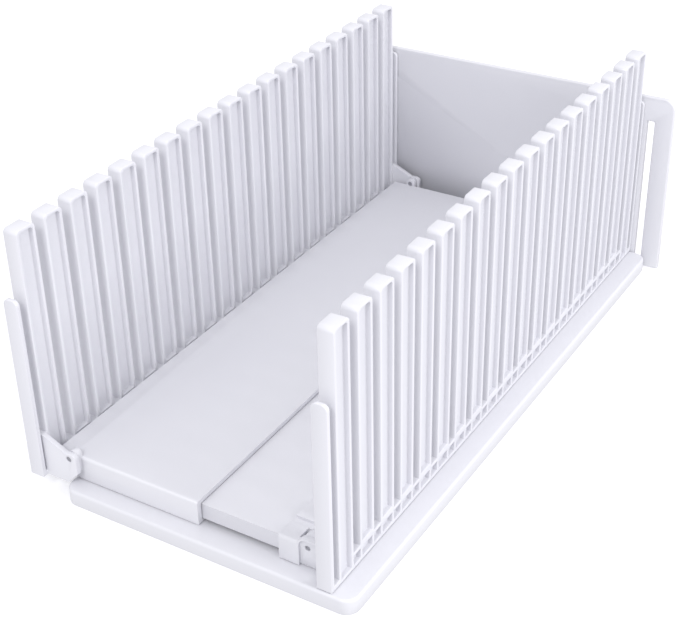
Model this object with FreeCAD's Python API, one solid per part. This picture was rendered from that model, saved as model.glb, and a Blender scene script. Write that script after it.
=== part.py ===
import FreeCAD, Part
import math
import os

# Bread slicer guide: two moulded comb walls stand on a two-piece sliding floor over a crumb
# tray, and an end stop drops in behind them. Millimetres. +X is right, -Y is the front, +Z is
# up; the origin is under the middle of the channel, on the table.

V = FreeCAD.Vector

# ---- comb walls ----
slice_pitch = 12.7            # one slice: slot centre to slot centre
knife_slot_width = 4.2
knife_slot_count = 18
comb_thickness = 5.6
comb_height = 91.8            # base to slat top
channel_width = 108.8         # between the combs, as the floor is set
rail_height = 6.3             # base to the bottom of a knife slot
web_thickness = 2.0           # what stays between the recesses of the two faces
rim_width = 1.2               # rim round every recess
rail_rib = 1.3                # rib over a rail cell
slat_top_radius = 1.6
recess_corner = 0.8           # 45-degree corner at the top of a slat recess

# ---- bars that stand off both ends of a comb ----
end_bar_thickness = 1.6
end_bar_height = 69.0
end_bar_corner = 2.0
end_channel = 3.0             # gap between bar and slat
end_channel_floor = 2.0

# ---- hinges ----
pin_diameter = 2.0
pin_running_clearance = 0.05  # radial, in the piece that turns
pin_recess = 0.4              # pin end below the outer face
knuckle_radius = 3.3
right_pin_inset = 7.4         # comb's inner face to pin axis
right_pin_height = 7.1        # base to pin axis
left_pin_inset = 10.4
fold_clearance = 0.3          # left comb over the right one, both folded flat
right_arm_rise = 5.0          # arm's top above the pin axis, at the comb
right_ear_thickness = 2.5
right_ear_rise = 3.9          # ear's top above the pin axis
right_ear_corner = 3.0
ear_rim = 0.6                 # lip left over the sunk field on the ear's outer face
ear_sink = 1.0
left_lug_rise = 6.2           # lug's top above the pin axis, at the comb
left_lug_crown = 2.1          # and over the pin
left_lug_thickness = 2.0
left_lug_root = 3.0           # how far the lug reaches in front of the comb's thickness
left_lug_reach = 3.0          # lug's rounded end beyond the pin axis
left_lug_corner = 1.8
left_lug_cheek = 5.4          # straight edge of that end, below the pin axis
left_lug_foot = 1.5           # lug's lowest corner outboard of the pin axis
left_ear_radius = 2.0
left_ear_depth = 2.5
left_ear_drop = 6.0           # ear's foot below the pin axis

# ---- floor: a sleeve on the left, a tongue with a hinge block on the right ----
floor_setback = 1.5           # floor's front face behind the first slat's front face
floor_edge_gap = 2.5          # floor's edge to comb: the blade passes here
floor_height = 9.2
floor_skin = 1.7
floor_wall = 2.0
floor_edge_radius = 1.0
sleeve_length = 57.8
sleeve_lip_height = 1.0
sleeve_lip_reach = 3.0
block_length = 15.0
groove_depth = 1.1            # blade groove across the hinge block
groove_width = 3.2
slide_clearance = 0.3
tongue_rib = 1.5
tongue_rib_count = 7
gusset_count = 7
gusset_reach = 10.5           # from the sleeve's outer edge
narrowing_travel = 15.0       # how far the sleeve pushes in from this setting

# ---- crumb tray ----
tray_height = 6.0
tray_wall = 2.0
tray_corner = 5.0
tray_top_radius = 1.0
tray_ledge_front = 0.8        # tray beyond the front bars
tray_ledge_right = 7.5        # tray beyond the right comb
tray_left_short = 8.7         # tray's left edge inside the left comb's inner face
dish_border = 6.0
dish_front_border = 12.0

# ---- end stop ----
stop_thickness = 2.4
stop_height = 76.7
stop_wing = 12.3              # plate beyond the comb's outer face
stop_corner = 4.5
stop_slot_width = 3.0
stop_slot_offset = 1.5        # slot's edge outside the comb's outer face
stop_slot_height = 66.3
hook_width = 12.0
hook_thickness = 1.9
hook_tooth = 2.0
hook_tooth_depth = 4.5
hook_reach = 5.8              # tooth's front behind the floor's back face
hook_side_gap = 1.4

# ---- general ----
stand_gap = 0.3               # between pieces that stand on or pass each other

# ---- what follows from these ----
slat_width = slice_pitch - knife_slot_width
comb_half = (knife_slot_count * slice_pitch + slat_width) / 2
bar_inner = comb_half + end_channel
bar_outer = bar_inner + end_bar_thickness
inner_x = channel_width / 2
outer_x = inner_x + comb_thickness
base_z = tray_height + stand_gap
rail_z = base_z + rail_height
comb_top = base_z + comb_height
recess_depth = (comb_thickness - web_thickness) / 2
pin_radius = pin_diameter / 2

right_pin_x = inner_x - right_pin_inset
right_pin_z = base_z + right_pin_height
left_pin_x = -inner_x + left_pin_inset
folded_top = right_pin_z + right_pin_inset + comb_thickness
left_pin_z = folded_top + fold_clearance - left_pin_inset

floor_half = comb_half - floor_setback
floor_edge = inner_x - floor_edge_gap
floor_top = base_z + floor_height
sleeve_end = -floor_edge + sleeve_length
gusset_end = -floor_edge + gusset_reach
block_face = floor_edge - block_length
tongue_top = floor_top - floor_skin - slide_clearance
tongue_half = floor_half - floor_wall - slide_clearance
tongue_foot = base_z + sleeve_lip_height + slide_clearance
lug_front = comb_half + stand_gap + left_lug_thickness
ear_back = floor_half - right_ear_thickness
ear_face = floor_half - ear_sink
arm_front = ear_back - stand_gap
arm_back = comb_half - slat_width


def box(x0, x1, y0, y1, z0, z1):
    return Part.makeBox(x1 - x0, y1 - y0, z1 - z0, V(x0, y0, z0))


def slab(path, x=None, y=None, z=None):
    """Closed outline extruded along one axis. path holds (u, v) corners; a corner with a third
    value is rounded to that radius. The axis is the one given as (low, high)."""
    low, high = x or y or z
    if x:
        place, along = (lambda u, v: V(low, u, v)), V(high - low, 0, 0)
    elif y:
        place, along = (lambda u, v: V(u, low, v)), V(0, high - low, 0)
    else:
        place, along = (lambda u, v: V(u, v, low)), V(0, 0, high - low)
    pieces, count = [], len(path)
    for i, corner in enumerate(path):
        here = place(corner[0], corner[1])
        if len(corner) < 3 or corner[2] <= 0:
            pieces.append((here, here, None))
            continue
        before, after = path[i - 1], path[(i + 1) % count]
        into = (place(before[0], before[1]) - here).normalize()
        out = (place(after[0], after[1]) - here).normalize()
        half = math.acos(max(-1, min(1, into.dot(out)))) / 2
        reach = corner[2] / math.tan(half)
        bisector = (into + out).normalize()
        middle = here + bisector * (corner[2] / math.sin(half) - corner[2])
        pieces.append((here + into * reach, here + out * reach, middle))
    edges = []
    for i, (start, end, middle) in enumerate(pieces):
        if middle is not None:
            edges.append(Part.Arc(start, middle, end).toShape())
        following = pieces[(i + 1) % count][0]
        if end.distanceToPoint(following) > 1e-6:
            edges.append(Part.makeLine(end, following))
    return Part.Face(Part.Wire(edges)).extrude(along)


def rod(radius, x, z, y0, y1):
    return Part.makeCylinder(radius, y1 - y0, V(x, y0, z), V(0, 1, 0))


def mirror_y(shape):
    return shape.mirror(V(0, 0, 0), V(0, 1, 0))


def both_ends(shape):
    return [shape, mirror_y(shape)]


def one(shape):
    """A fused or cut result as one clean solid."""
    shape = shape.removeSplitter()
    solids = shape.Solids
    return solids[0] if len(solids) == 1 else Part.makeCompound(solids)


def save(name, shape):
    shape.exportStep(os.path.join("parts", name + ".step"))


def slat_start(index):
    return -comb_half + index * slice_pitch


# ---------------------------------------------------------------- the comb moulding
def comb_blank(x0, x1):
    """Side outline of rail, slats and slots, with the thin rail ends that carry the bars."""
    channel_top = base_z + end_channel_floor
    path = [(-bar_outer, base_z), (bar_outer, base_z), (bar_outer, channel_top)]
    path.append((comb_half, channel_top))
    for index in range(knife_slot_count, -1, -1):
        start = slat_start(index)
        path.append((start + slat_width, comb_top, slat_top_radius))
        path.append((start, comb_top, slat_top_radius))
        if index:
            path.append((start, rail_z))
            path.append((start - knife_slot_width, rail_z))
    path.append((-comb_half, channel_top))
    path.append((-bar_outer, channel_top))
    blank = slab(path, x=(x0, x1))
    bar_top = base_z + end_bar_height
    bar = slab([(x0, base_z), (x1, base_z), (x1, bar_top, end_bar_corner),
                (x0, bar_top, end_bar_corner)], y=(-bar_outer, -bar_inner))
    return blank.fuse(both_ends(bar))


def comb_recesses(x0, x1):
    """Recess in every slat, and cells in the rail under every slat and slot."""
    pockets = []
    for index in range(knife_slot_count + 1):
        start = slat_start(index)
        y0, y1 = start + rim_width, start + slat_width - rim_width
        outermost = index in (0, knife_slot_count)
        foot = base_z + rim_width if outermost else rail_z + rim_width
        top, shoulder = comb_top - rim_width, comb_top - rim_width - recess_corner
        pockets.append(slab([(y0, foot), (y1, foot), (y1, shoulder), (y1 - recess_corner, top),
                             (y0 + recess_corner, top), (y0, shoulder)], x=(x0, x1)))
        cell_top = rail_z - rail_rib
        if not outermost:
            pockets.append(box(x0, x1, y0, y1, base_z + rail_rib, cell_top))
        if index < knife_slot_count:
            gap = start + slat_width
            pockets.append(box(x0, x1, gap, gap + knife_slot_width,
                               base_z + rail_rib, cell_top))
    return pockets


def comb(side):
    low, high = (inner_x, outer_x) if side > 0 else (-outer_x, -inner_x)
    body = comb_blank(low, high)
    cuts = comb_recesses(low, low + recess_depth) + comb_recesses(high - recess_depth, high)
    return body.cut(Part.makeCompound(cuts))


def right_arm():
    """Arm from the last slat to the hinge pin: a round knuckle that turns in the block's
    pocket, and a slope that stays above the block's top when the comb is folded."""
    web_x = inner_x + recess_depth
    knee = knuckle_radius * math.sqrt(0.5)
    shoulder_x = right_pin_x + (floor_top - right_pin_z) + stand_gap
    path = [(web_x, base_z), (web_x, right_pin_z + right_arm_rise),
            (inner_x, right_pin_z + right_arm_rise), (shoulder_x, right_pin_z + knuckle_radius),
            (right_pin_x, right_pin_z + knuckle_radius),
            (right_pin_x - knee, right_pin_z - knee), (right_pin_x, base_z)]
    arm = slab(path, y=(-arm_front, -arm_back))
    arm = arm.fuse(rod(knuckle_radius, right_pin_x, right_pin_z, -arm_front, -arm_back))
    hole = rod(pin_radius + pin_running_clearance, right_pin_x, right_pin_z,
               -arm_front, -arm_back)
    return arm, hole


def left_lug():
    """Flat lug in front of the first slat, rooted in the end channel beside the bar."""
    root_x = -inner_x - left_lug_root
    end_x = left_pin_x + left_lug_reach
    crown = left_pin_z + left_lug_crown
    path = [(root_x, base_z), (root_x, left_pin_z + left_lug_rise),
            (-inner_x, left_pin_z + left_lug_rise), (left_pin_x - left_lug_foot, crown),
            (end_x, crown, left_lug_corner), (end_x, left_pin_z - left_lug_cheek),
            (left_pin_x - left_lug_foot, base_z)]
    lug = slab(path, y=(-lug_front, -comb_half - stand_gap))
    root = box(root_x, -inner_x, -lug_front, -comb_half, base_z, left_pin_z + left_lug_rise)
    hole = rod(pin_radius + pin_running_clearance, left_pin_x, left_pin_z,
               -lug_front, -comb_half - stand_gap)
    return lug.fuse(root), hole


def build_right_comb():
    arm, hole = right_arm()
    body = comb(1).fuse(both_ends(arm))
    return one(body.cut(Part.makeCompound(both_ends(hole))))


def build_left_comb():
    lug, hole = left_lug()
    body = comb(-1).fuse(both_ends(lug))
    return one(body.cut(Part.makeCompound(both_ends(hole))))


# ---------------------------------------------------------------- the floor
def build_left_floor():
    """Sleeve: a top skin with C-shaped front and back walls that the tongue runs in."""
    inner = floor_half - floor_wall
    lip = inner - sleeve_lip_reach
    under = floor_top - floor_skin
    lip_top = base_z + sleeve_lip_height
    path = [(-floor_half, base_z), (-lip, base_z), (-lip, lip_top), (-inner, lip_top),
            (-inner, under), (inner, under), (inner, lip_top), (lip, lip_top), (lip, base_z),
            (floor_half, base_z), (floor_half, floor_top, floor_edge_radius),
            (-floor_half, floor_top, floor_edge_radius)]
    body = slab(path, x=(-floor_edge, sleeve_end))
    body = body.fuse(box(-floor_edge, -floor_edge + floor_wall, -inner, inner, base_z, under))
    ear = box(left_pin_x - left_ear_radius, left_pin_x + left_ear_radius, -comb_half,
              -comb_half + left_ear_depth, left_pin_z - left_ear_drop, left_pin_z)
    ear = ear.fuse(rod(left_ear_radius, left_pin_x, left_pin_z, -comb_half,
                       -comb_half + left_ear_depth))
    gussets = []
    for index in range(gusset_count):
        y = -inner + 2 * inner * (index + 0.5) / gusset_count
        gussets.append(slab([(-floor_edge + floor_wall, lip_top), (gusset_end, under),
                             (-floor_edge + floor_wall, under)],
                            y=(y - tongue_rib / 2, y + tongue_rib / 2)))
    body = body.fuse(both_ends(ear) + gussets)
    hole = rod(pin_radius, left_pin_x, left_pin_z, -comb_half, -comb_half + left_ear_depth)
    return one(body.cut(Part.makeCompound(both_ends(hole))))


def right_ear(y0, y1, rim):
    """The block's upright ear, round at its inboard top corner; rim insets the outline."""
    start, top = right_pin_x - knuckle_radius + rim, right_pin_z + right_ear_rise - rim
    return slab([(start, base_z), (floor_edge, base_z), (floor_edge, top),
                 (start, top, right_ear_corner - rim)], y=(y0, y1))


def build_right_floor():
    """Tongue under the sleeve's skin, and the hinge block it ends in."""
    under = tongue_top - floor_skin
    wall = tongue_half - floor_wall
    tongue_end = gusset_end + narrowing_travel + stand_gap
    path = [(-tongue_half, tongue_foot), (-wall, tongue_foot), (-wall, under), (wall, under),
            (wall, tongue_foot), (tongue_half, tongue_foot), (tongue_half, tongue_top),
            (-tongue_half, tongue_top)]
    body = slab(path, x=(tongue_end, block_face))
    ribs = [box(tongue_end, tongue_end + tongue_rib, -wall, wall, tongue_foot, under)]
    for index in range(tongue_rib_count):
        y = -wall + 2 * wall * (index + 1) / (tongue_rib_count + 1)
        ribs.append(box(tongue_end, block_face, y - tongue_rib / 2, y + tongue_rib / 2,
                        tongue_foot, under))
    block = slab([(-floor_half, base_z), (floor_half, base_z),
                  (floor_half, floor_top, floor_edge_radius),
                  (-floor_half, floor_top, floor_edge_radius)], x=(block_face, floor_edge))
    body = body.fuse(ribs + [block] + both_ends(right_ear(-floor_half, -ear_back, 0)))

    field = right_ear(-floor_half, -ear_face, ear_rim)
    cuts = both_ends(field)
    pocket = box(right_pin_x - knuckle_radius - stand_gap, floor_edge,
                 -ear_back, -arm_back + stand_gap, base_z, floor_top)
    cuts += both_ends(pocket)
    ceiling = floor_top - groove_depth - floor_skin
    hollow_end = arm_back - stand_gap - floor_wall
    bays = (knife_slot_count + 1) // 3
    bay = 2 * hollow_end / bays
    for index in range(bays):
        y0 = -hollow_end + index * bay
        cuts.append(box(block_face + floor_wall, floor_edge - floor_wall,
                        y0 + tongue_rib / 2, y0 + bay - tongue_rib / 2, base_z, ceiling))
    for index in range(knife_slot_count):
        middle = slat_start(index) + slat_width + knife_slot_width / 2
        cuts.append(box(block_face, floor_edge, middle - groove_width / 2,
                        middle + groove_width / 2, floor_top - groove_depth, floor_top))
    cuts += both_ends(rod(pin_radius, right_pin_x, right_pin_z, -floor_half, -ear_back))
    hook_x0, hook_x1 = hook_span()
    tooth_y0, tooth_y1 = hook_tooth_span()
    cuts.append(box(hook_x0 - stand_gap, hook_x1 + stand_gap, tooth_y0 - stand_gap,
                    tooth_y1 + stand_gap, under, tongue_top))
    return one(body.cut(Part.makeCompound(cuts)))


# ---------------------------------------------------------------- hinge pins
def left_pin():
    return rod(pin_radius, left_pin_x, left_pin_z, -lug_front + pin_recess,
               -comb_half + left_ear_depth)


def right_pin():
    return rod(pin_radius, right_pin_x, right_pin_z, -ear_face + pin_recess,
               -arm_back - pin_recess)


# ---------------------------------------------------------------- crumb tray
def build_crumb_tray():
    """Shallow dish with a rolled, hollow border that the floor and right comb stand on."""
    x0, x1 = -inner_x + tray_left_short, outer_x + tray_ledge_right
    y0, y1 = -bar_outer - tray_ledge_front, bar_outer
    plan = [(x0, y0, tray_corner), (x1, y0, tray_corner), (x1, y1, tray_corner),
            (x0, y1, tray_corner)]
    body = slab(plan, z=(0, tray_height))
    rim = [edge for edge in body.Edges
           if abs(edge.BoundBox.ZMin - tray_height) < 1e-6 and edge.BoundBox.ZLength < 1e-6]
    body = body.makeFillet(tray_top_radius, rim)
    dish_x0, dish_x1 = x0 + dish_border, block_face - stand_gap
    dish_y = floor_half - dish_front_border
    dish = slab([(dish_x0, -dish_y, tray_corner), (dish_x1, -dish_y, tray_corner),
                 (dish_x1, dish_y, tray_corner), (dish_x0, dish_y, tray_corner)],
                z=(tray_wall, tray_height))
    body = body.cut(dish)

    # the border is open underneath, between the outer wall and the dish's wall
    w, inner_corner = tray_wall, tray_corner - tray_wall
    hollow = slab([(x0 + w, y0 + w, inner_corner), (x1 - w, y0 + w, inner_corner),
                   (x1 - w, y1 - w, inner_corner), (x0 + w, y1 - w, inner_corner)],
                  z=(0, tray_height - tray_wall))
    core_corner = tray_corner + tray_wall
    core = slab([(dish_x0 - w, -dish_y - w, core_corner), (dish_x1 + w, -dish_y - w, core_corner),
                 (dish_x1 + w, dish_y + w, core_corner), (dish_x0 - w, dish_y + w, core_corner)],
                z=(0, tray_height - tray_wall))
    return one(body.cut(hollow.cut(core)))


# ---------------------------------------------------------------- end stop
def hook_span():
    x1 = block_face - hook_side_gap
    return x1 - hook_width, x1


def hook_tooth_span():
    y1 = tongue_half - hook_reach
    return y1 - hook_tooth, y1


def build_end_stop():
    """Flat plate behind the back bars, slotted beside each comb, hooked into the tongue."""
    edge = outer_x + stop_wing
    slot0 = outer_x + stop_slot_offset
    slot1 = slot0 + stop_slot_width
    foot, top, slot_top = stand_gap, stand_gap + stop_height, stand_gap + stop_slot_height
    plate_front = bar_outer + stand_gap
    path = [(-edge, foot), (-slot1, foot), (-slot1, slot_top), (-slot0, slot_top),
            (-slot0, foot), (slot0, foot), (slot0, slot_top), (slot1, slot_top), (slot1, foot),
            (edge, foot), (edge, top, stop_corner), (-edge, top, stop_corner)]
    body = slab(path, y=(plate_front, plate_front + stop_thickness))
    hook_x0, hook_x1 = hook_span()
    tooth_y0, tooth_y1 = hook_tooth_span()
    hook_z = tongue_top + stand_gap
    hook = box(hook_x0, hook_x1, tooth_y0, plate_front, hook_z, hook_z + hook_thickness)
    tooth = box(hook_x0, hook_x1, tooth_y0, tooth_y1, hook_z - hook_tooth_depth, hook_z)
    return one(body.fuse([hook, tooth]))


os.makedirs("parts", exist_ok=True)
save("crumb_tray", build_crumb_tray())
save("right_floor", build_right_floor())
save("left_floor", build_left_floor())
save("right_comb", build_right_comb())
save("left_comb", build_left_comb())
save("end_stop", build_end_stop())
save("front_left_hinge_pin", left_pin())
save("back_left_hinge_pin", mirror_y(left_pin()))
save("front_right_hinge_pin", right_pin())
save("back_right_hinge_pin", mirror_y(right_pin()))
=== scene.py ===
import math

import bmesh
import bpy
import numpy as np
from mathutils import Matrix, Vector


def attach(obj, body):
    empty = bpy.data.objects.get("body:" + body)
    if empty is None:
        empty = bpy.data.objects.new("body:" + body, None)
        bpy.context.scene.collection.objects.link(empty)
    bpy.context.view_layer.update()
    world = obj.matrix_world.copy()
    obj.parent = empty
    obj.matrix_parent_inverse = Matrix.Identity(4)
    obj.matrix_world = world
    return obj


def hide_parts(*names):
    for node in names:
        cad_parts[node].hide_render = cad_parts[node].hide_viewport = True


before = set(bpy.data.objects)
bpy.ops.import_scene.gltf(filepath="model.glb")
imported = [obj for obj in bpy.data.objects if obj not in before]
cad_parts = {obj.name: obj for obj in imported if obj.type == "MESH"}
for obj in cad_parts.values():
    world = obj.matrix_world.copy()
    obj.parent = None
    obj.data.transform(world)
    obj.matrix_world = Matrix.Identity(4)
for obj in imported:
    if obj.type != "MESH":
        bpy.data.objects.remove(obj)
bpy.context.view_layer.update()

# ---- Crumb tray ----
# A low tray of white ABS, injection moulded in one piece, on which everything else stands. Its
# rim is a rounded roll, hollow underneath; the crumbs collect in the dish under the floor.


def from_hex(code):
    """sRGB hex to linear RGBA: below 0.04045 divide by 12.92, above it ((c + 0.055) / 1.055) ^ 2.4."""
    srgb = np.array([int(code[i : i + 2], 16) for i in (1, 3, 5)]) / 255
    linear = np.where(srgb <= 0.04045, srgb / 12.92, ((srgb + 0.055) / 1.055) ** 2.4)
    return (*linear.tolist(), 1.0)


def add(material, kind, settings=None, **links):
    """Adds one node to a material, sets its values and links its inputs by name, where an
    underscore stands for a space."""
    node = material.node_tree.nodes.new(kind)
    for name, value in (settings or {}).items():
        if name in node.inputs:
            node.inputs[name].default_value = value
        else:
            setattr(node, name, value)
    for name, source in links.items():
        material.node_tree.links.new(source, node.inputs[name.replace("_", " ")])
    return node


def moulded_abs(name, colour, shade, roughness, peel):
    """Glossy injection-moulded ABS: an even white whose tone and gloss drift a little where the
    melt cooled slower, with the fine orange peel of a polished steel mould."""
    patches_per_metre = 22.0
    gloss_spread = 0.12
    # the bumps of the peel are about twice as wide as real ones, so that they show
    bumps_per_metre = 800.0
    bump_depth = 0.0001
    abs_ior = 1.53
    material = bpy.data.materials.new(name)
    material.use_nodes = True
    material.node_tree.nodes.clear()
    place = add(material, "ShaderNodeTexCoord").outputs["Object"]
    drift = add(material, "ShaderNodeTexNoise", {"Scale": patches_per_metre, "Detail": 2.0},
                Vector=place)
    # a Mix node's colour sockets share their names with its number sockets and go by index
    tone = add(material, "ShaderNodeMix", {"data_type": "RGBA"})
    amount, first, second, mixed = tone.inputs[0], tone.inputs[6], tone.inputs[7], tone.outputs[2]
    first.default_value = from_hex(colour)
    second.default_value = from_hex(shade)
    material.node_tree.links.new(drift.outputs["Fac"], amount)
    gloss = add(material, "ShaderNodeMapRange",
                {"To Min": roughness, "To Max": roughness + gloss_spread},
                Value=drift.outputs["Fac"])
    grain = add(material, "ShaderNodeTexNoise", {"Scale": bumps_per_metre, "Detail": 1.0},
                Vector=place)
    bump = add(material, "ShaderNodeBump", {"Strength": peel, "Distance": bump_depth},
               Height=grain.outputs["Fac"])
    skin = add(material, "ShaderNodeBsdfPrincipled", {"IOR": abs_ior, "Specular IOR Level": 0.5},
               Base_Color=mixed, Roughness=gloss.outputs["Result"], Normal=bump.outputs["Normal"])
    add(material, "ShaderNodeOutputMaterial", Surface=skin.outputs["BSDF"])
    return material


def with_rounded_edges(node, body, material, radius, narrowed=True):
    """The node's own surface with every sharp edge rounded to a small radius, as a mould gives
    it: flat triangles are merged, and each sharp edge becomes an arc of two facets. Where
    narrowed, the radius shrinks over the whole piece until it fits between its closest edges."""
    same_point = 1e-6
    flat_turn = math.radians(0.5)
    sharp_turn = math.radians(25)
    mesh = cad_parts[node].data.copy()
    shell = bmesh.new()
    shell.from_mesh(mesh)
    bmesh.ops.remove_doubles(shell, verts=shell.verts, dist=same_point)
    bmesh.ops.dissolve_limit(shell, angle_limit=flat_turn, verts=shell.verts, edges=shell.edges)
    shell.to_mesh(mesh)
    shell.free()
    piece = bpy.data.objects.new(node + "_moulding", mesh)
    bpy.context.scene.collection.objects.link(piece)
    rounding = piece.modifiers.new("rounded edges", "BEVEL")
    rounding.width = radius
    rounding.segments = 2
    rounding.limit_method = "ANGLE"
    rounding.angle_limit = sharp_turn
    rounding.use_clamp_overlap = narrowed
    rounding.harden_normals = True
    mesh.materials.clear()
    mesh.materials.append(material)
    mesh.polygons.foreach_set("use_smooth", np.ones(len(mesh.polygons), bool))
    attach(piece, body)
    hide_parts(node)


tray_abs = moulded_abs("moulded white ABS, tray", "#DBDBE0", "#D7D7DD", roughness=0.28, peel=0.10)
with_rounded_edges("crumb_tray", "crumb_tray", tray_abs, radius=0.0004)

# ---- Floor halves ----
# The loaf lies on two mouldings of white ABS: a sleeve on the left, and a tongue on the right
# that slides inside it to set the width and ends in the thick block with the hinge ears.
floor_abs = moulded_abs("moulded white ABS, floor", "#DBDBE0", "#D7D7DD", roughness=0.26, peel=0.10)
# The fine arcs of the hinge ears narrow these radii to 0.04 mm on the left and 0.003 mm on the right.
with_rounded_edges("left_floor", "left_floor", floor_abs, radius=0.0004)
with_rounded_edges("right_floor", "right_floor", floor_abs, radius=0.0003)

# ---- Combs ----
# Each side wall is one tall moulding: slats of an I-shaped section with slots for the knife
# between them, a rail of small cells along the foot, and a low bar that stands off each end.
comb_abs = moulded_abs("moulded white ABS, combs", "#DBDBE1", "#D7D7DD", roughness=0.24, peel=0.08)
# Narrowed to fit the arcs round the hinge pins, these edges would look sharp. So the radius stays,
# and a few tiny facets beside the pins cross each other.
with_rounded_edges("right_comb", "right_comb", comb_abs, radius=0.00025,
                   narrowed=False)
with_rounded_edges("left_comb", "left_comb", comb_abs, radius=0.0002,
                   narrowed=False)

# ---- End stop ----
# A flat plate of the same ABS that hangs behind the back bars, with a slot on each side and a
# hook that drops into the tongue; the loaf's end is pushed against it.
stop_abs = moulded_abs("moulded white ABS, end stop", "#DADADF", "#D6D6DC", roughness=0.30, peel=0.10)
with_rounded_edges("end_stop", "end_stop", stop_abs, radius=0.0005)

# ---- Hinge pins ----
# Cut lengths of drawn steel wire, pressed into the floor's ears, on which the combs turn. Their
# cut ends sit just below the surface and look dark.
wire = bpy.data.materials.new("drawn steel wire")
wire.use_nodes = True
wire.node_tree.nodes.clear()
wire_place = add(wire, "ShaderNodeTexCoord").outputs["Object"]
# the drawing lines run along the pin's own Y axis, 50 times as long as they are wide
wire_lines_per_metre = 9000.0
wire_stretch = add(wire, "ShaderNodeMapping", {"Scale": (1.0, 1 / 50, 1.0)}, Vector=wire_place)
wire_lines = add(wire, "ShaderNodeTexNoise", {"Scale": wire_lines_per_metre, "Detail": 2.0},
                 Vector=wire_stretch.outputs["Vector"])
wire_gloss = add(wire, "ShaderNodeMapRange", {"To Min": 0.28, "To Max": 0.5},
                 Value=wire_lines.outputs["Fac"])
wire_skin = add(wire, "ShaderNodeBsdfPrincipled",
                {"Base Color": from_hex("#A6A6AC"), "Metallic": 1.0},
                Roughness=wire_gloss.outputs["Result"])
add(wire, "ShaderNodeOutputMaterial", Surface=wire_skin.outputs["BSDF"])
for end in ("front", "back"):
    for side in ("left", "right"):
        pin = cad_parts[f"{end}_{side}_hinge_pin"]
        pin.data.materials.clear()
        pin.data.materials.append(wire)

# ---- Table, light and camera ----
# A pale seamless table top that glows as a light table does, and stays out of the plastic's own
# shading. A white dome gives most of the light, and two weak soft boxes model the edges.
table_reach = 6
table_paint = bpy.data.materials.new("pale table")
table_paint.use_nodes = True
table_skin = table_paint.node_tree.nodes["Principled BSDF"]
table_skin.inputs["Base Color"].default_value = from_hex("#E8E8EA")
table_skin.inputs["Roughness"].default_value = 0.9
table_skin.inputs["Emission Color"].default_value = from_hex("#FFFFFF")
table_skin.inputs["Emission Strength"].default_value = 0.25
table_corners = [(x * table_reach, y * table_reach, 0) for x, y in ((-1, -1), (1, -1), (1, 1), (-1, 1))]
table_mesh = bpy.data.meshes.new("table_top")
table_mesh.from_pydata(table_corners, [], [(0, 1, 2, 3)])
table_mesh.materials.append(table_paint)
table_top = bpy.data.objects.new("table_top", table_mesh)
bpy.context.scene.collection.objects.link(table_top)
table_top.visible_diffuse = False
table_top.visible_glossy = False

world = bpy.data.worlds.new("soft studio")
bpy.context.scene.world = world
world.use_nodes = True
world.node_tree.nodes["Background"].inputs["Color"].default_value = from_hex("#FCFCFF")
world.node_tree.nodes["Background"].inputs["Strength"].default_value = 0.96


def softbox(name, place, target, size, power):
    """A square white area light at place that faces target: metres and watts."""
    light = bpy.data.lights.new(name, "AREA")
    light.size = size
    light.energy = power
    lamp = bpy.data.objects.new(name, light)
    bpy.context.scene.collection.objects.link(lamp)
    lamp.location = place
    lamp.rotation_euler = (Vector(target) - Vector(place)).to_track_quat("-Z", "Y").to_euler()


low_middle = (0, 0, 0.03)
softbox("front softbox", (0.23, -1.3, 1.26), low_middle, size=0.5, power=9)
softbox("right softbox", (1.56, -0.05, 0.93), low_middle, size=0.7, power=14.5)

# The camera looks down from the front right and leans a little to one side. Its turn is given by
# its own right, up and back directions, and its lens by a focal length in pixels of the image.
camera_place = (0.2303, -0.39035, 0.2994)
azimuth, elevation, roll = (math.radians(angle) for angle in (31.77, 31.38, -1.26))
image_width = 679
focal_pixels = 1400
back = Vector((math.sin(azimuth) * math.cos(elevation),
               -math.cos(azimuth) * math.cos(elevation), math.sin(elevation)))
level = Vector((math.cos(azimuth), math.sin(azimuth), 0))
upright = back.cross(level)
across = level * math.cos(roll) + upright * math.sin(roll)
above = upright * math.cos(roll) - level * math.sin(roll)
lens = bpy.data.cameras.new("camera")
lens.sensor_fit = "HORIZONTAL"
lens.sensor_width = 36
lens.lens = focal_pixels / image_width * lens.sensor_width
lens.clip_start = 0.01
camera = bpy.data.objects.new("camera", lens)
bpy.context.scene.collection.objects.link(camera)
turn = Matrix((across, above, back)).transposed()
camera.matrix_world = Matrix.Translation(camera_place) @ turn.to_4x4()
bpy.context.scene.camera = camera

# The Standard view keeps white plastic on a white table white; the default one greys it.
bpy.context.scene.view_settings.view_transform = "Standard"
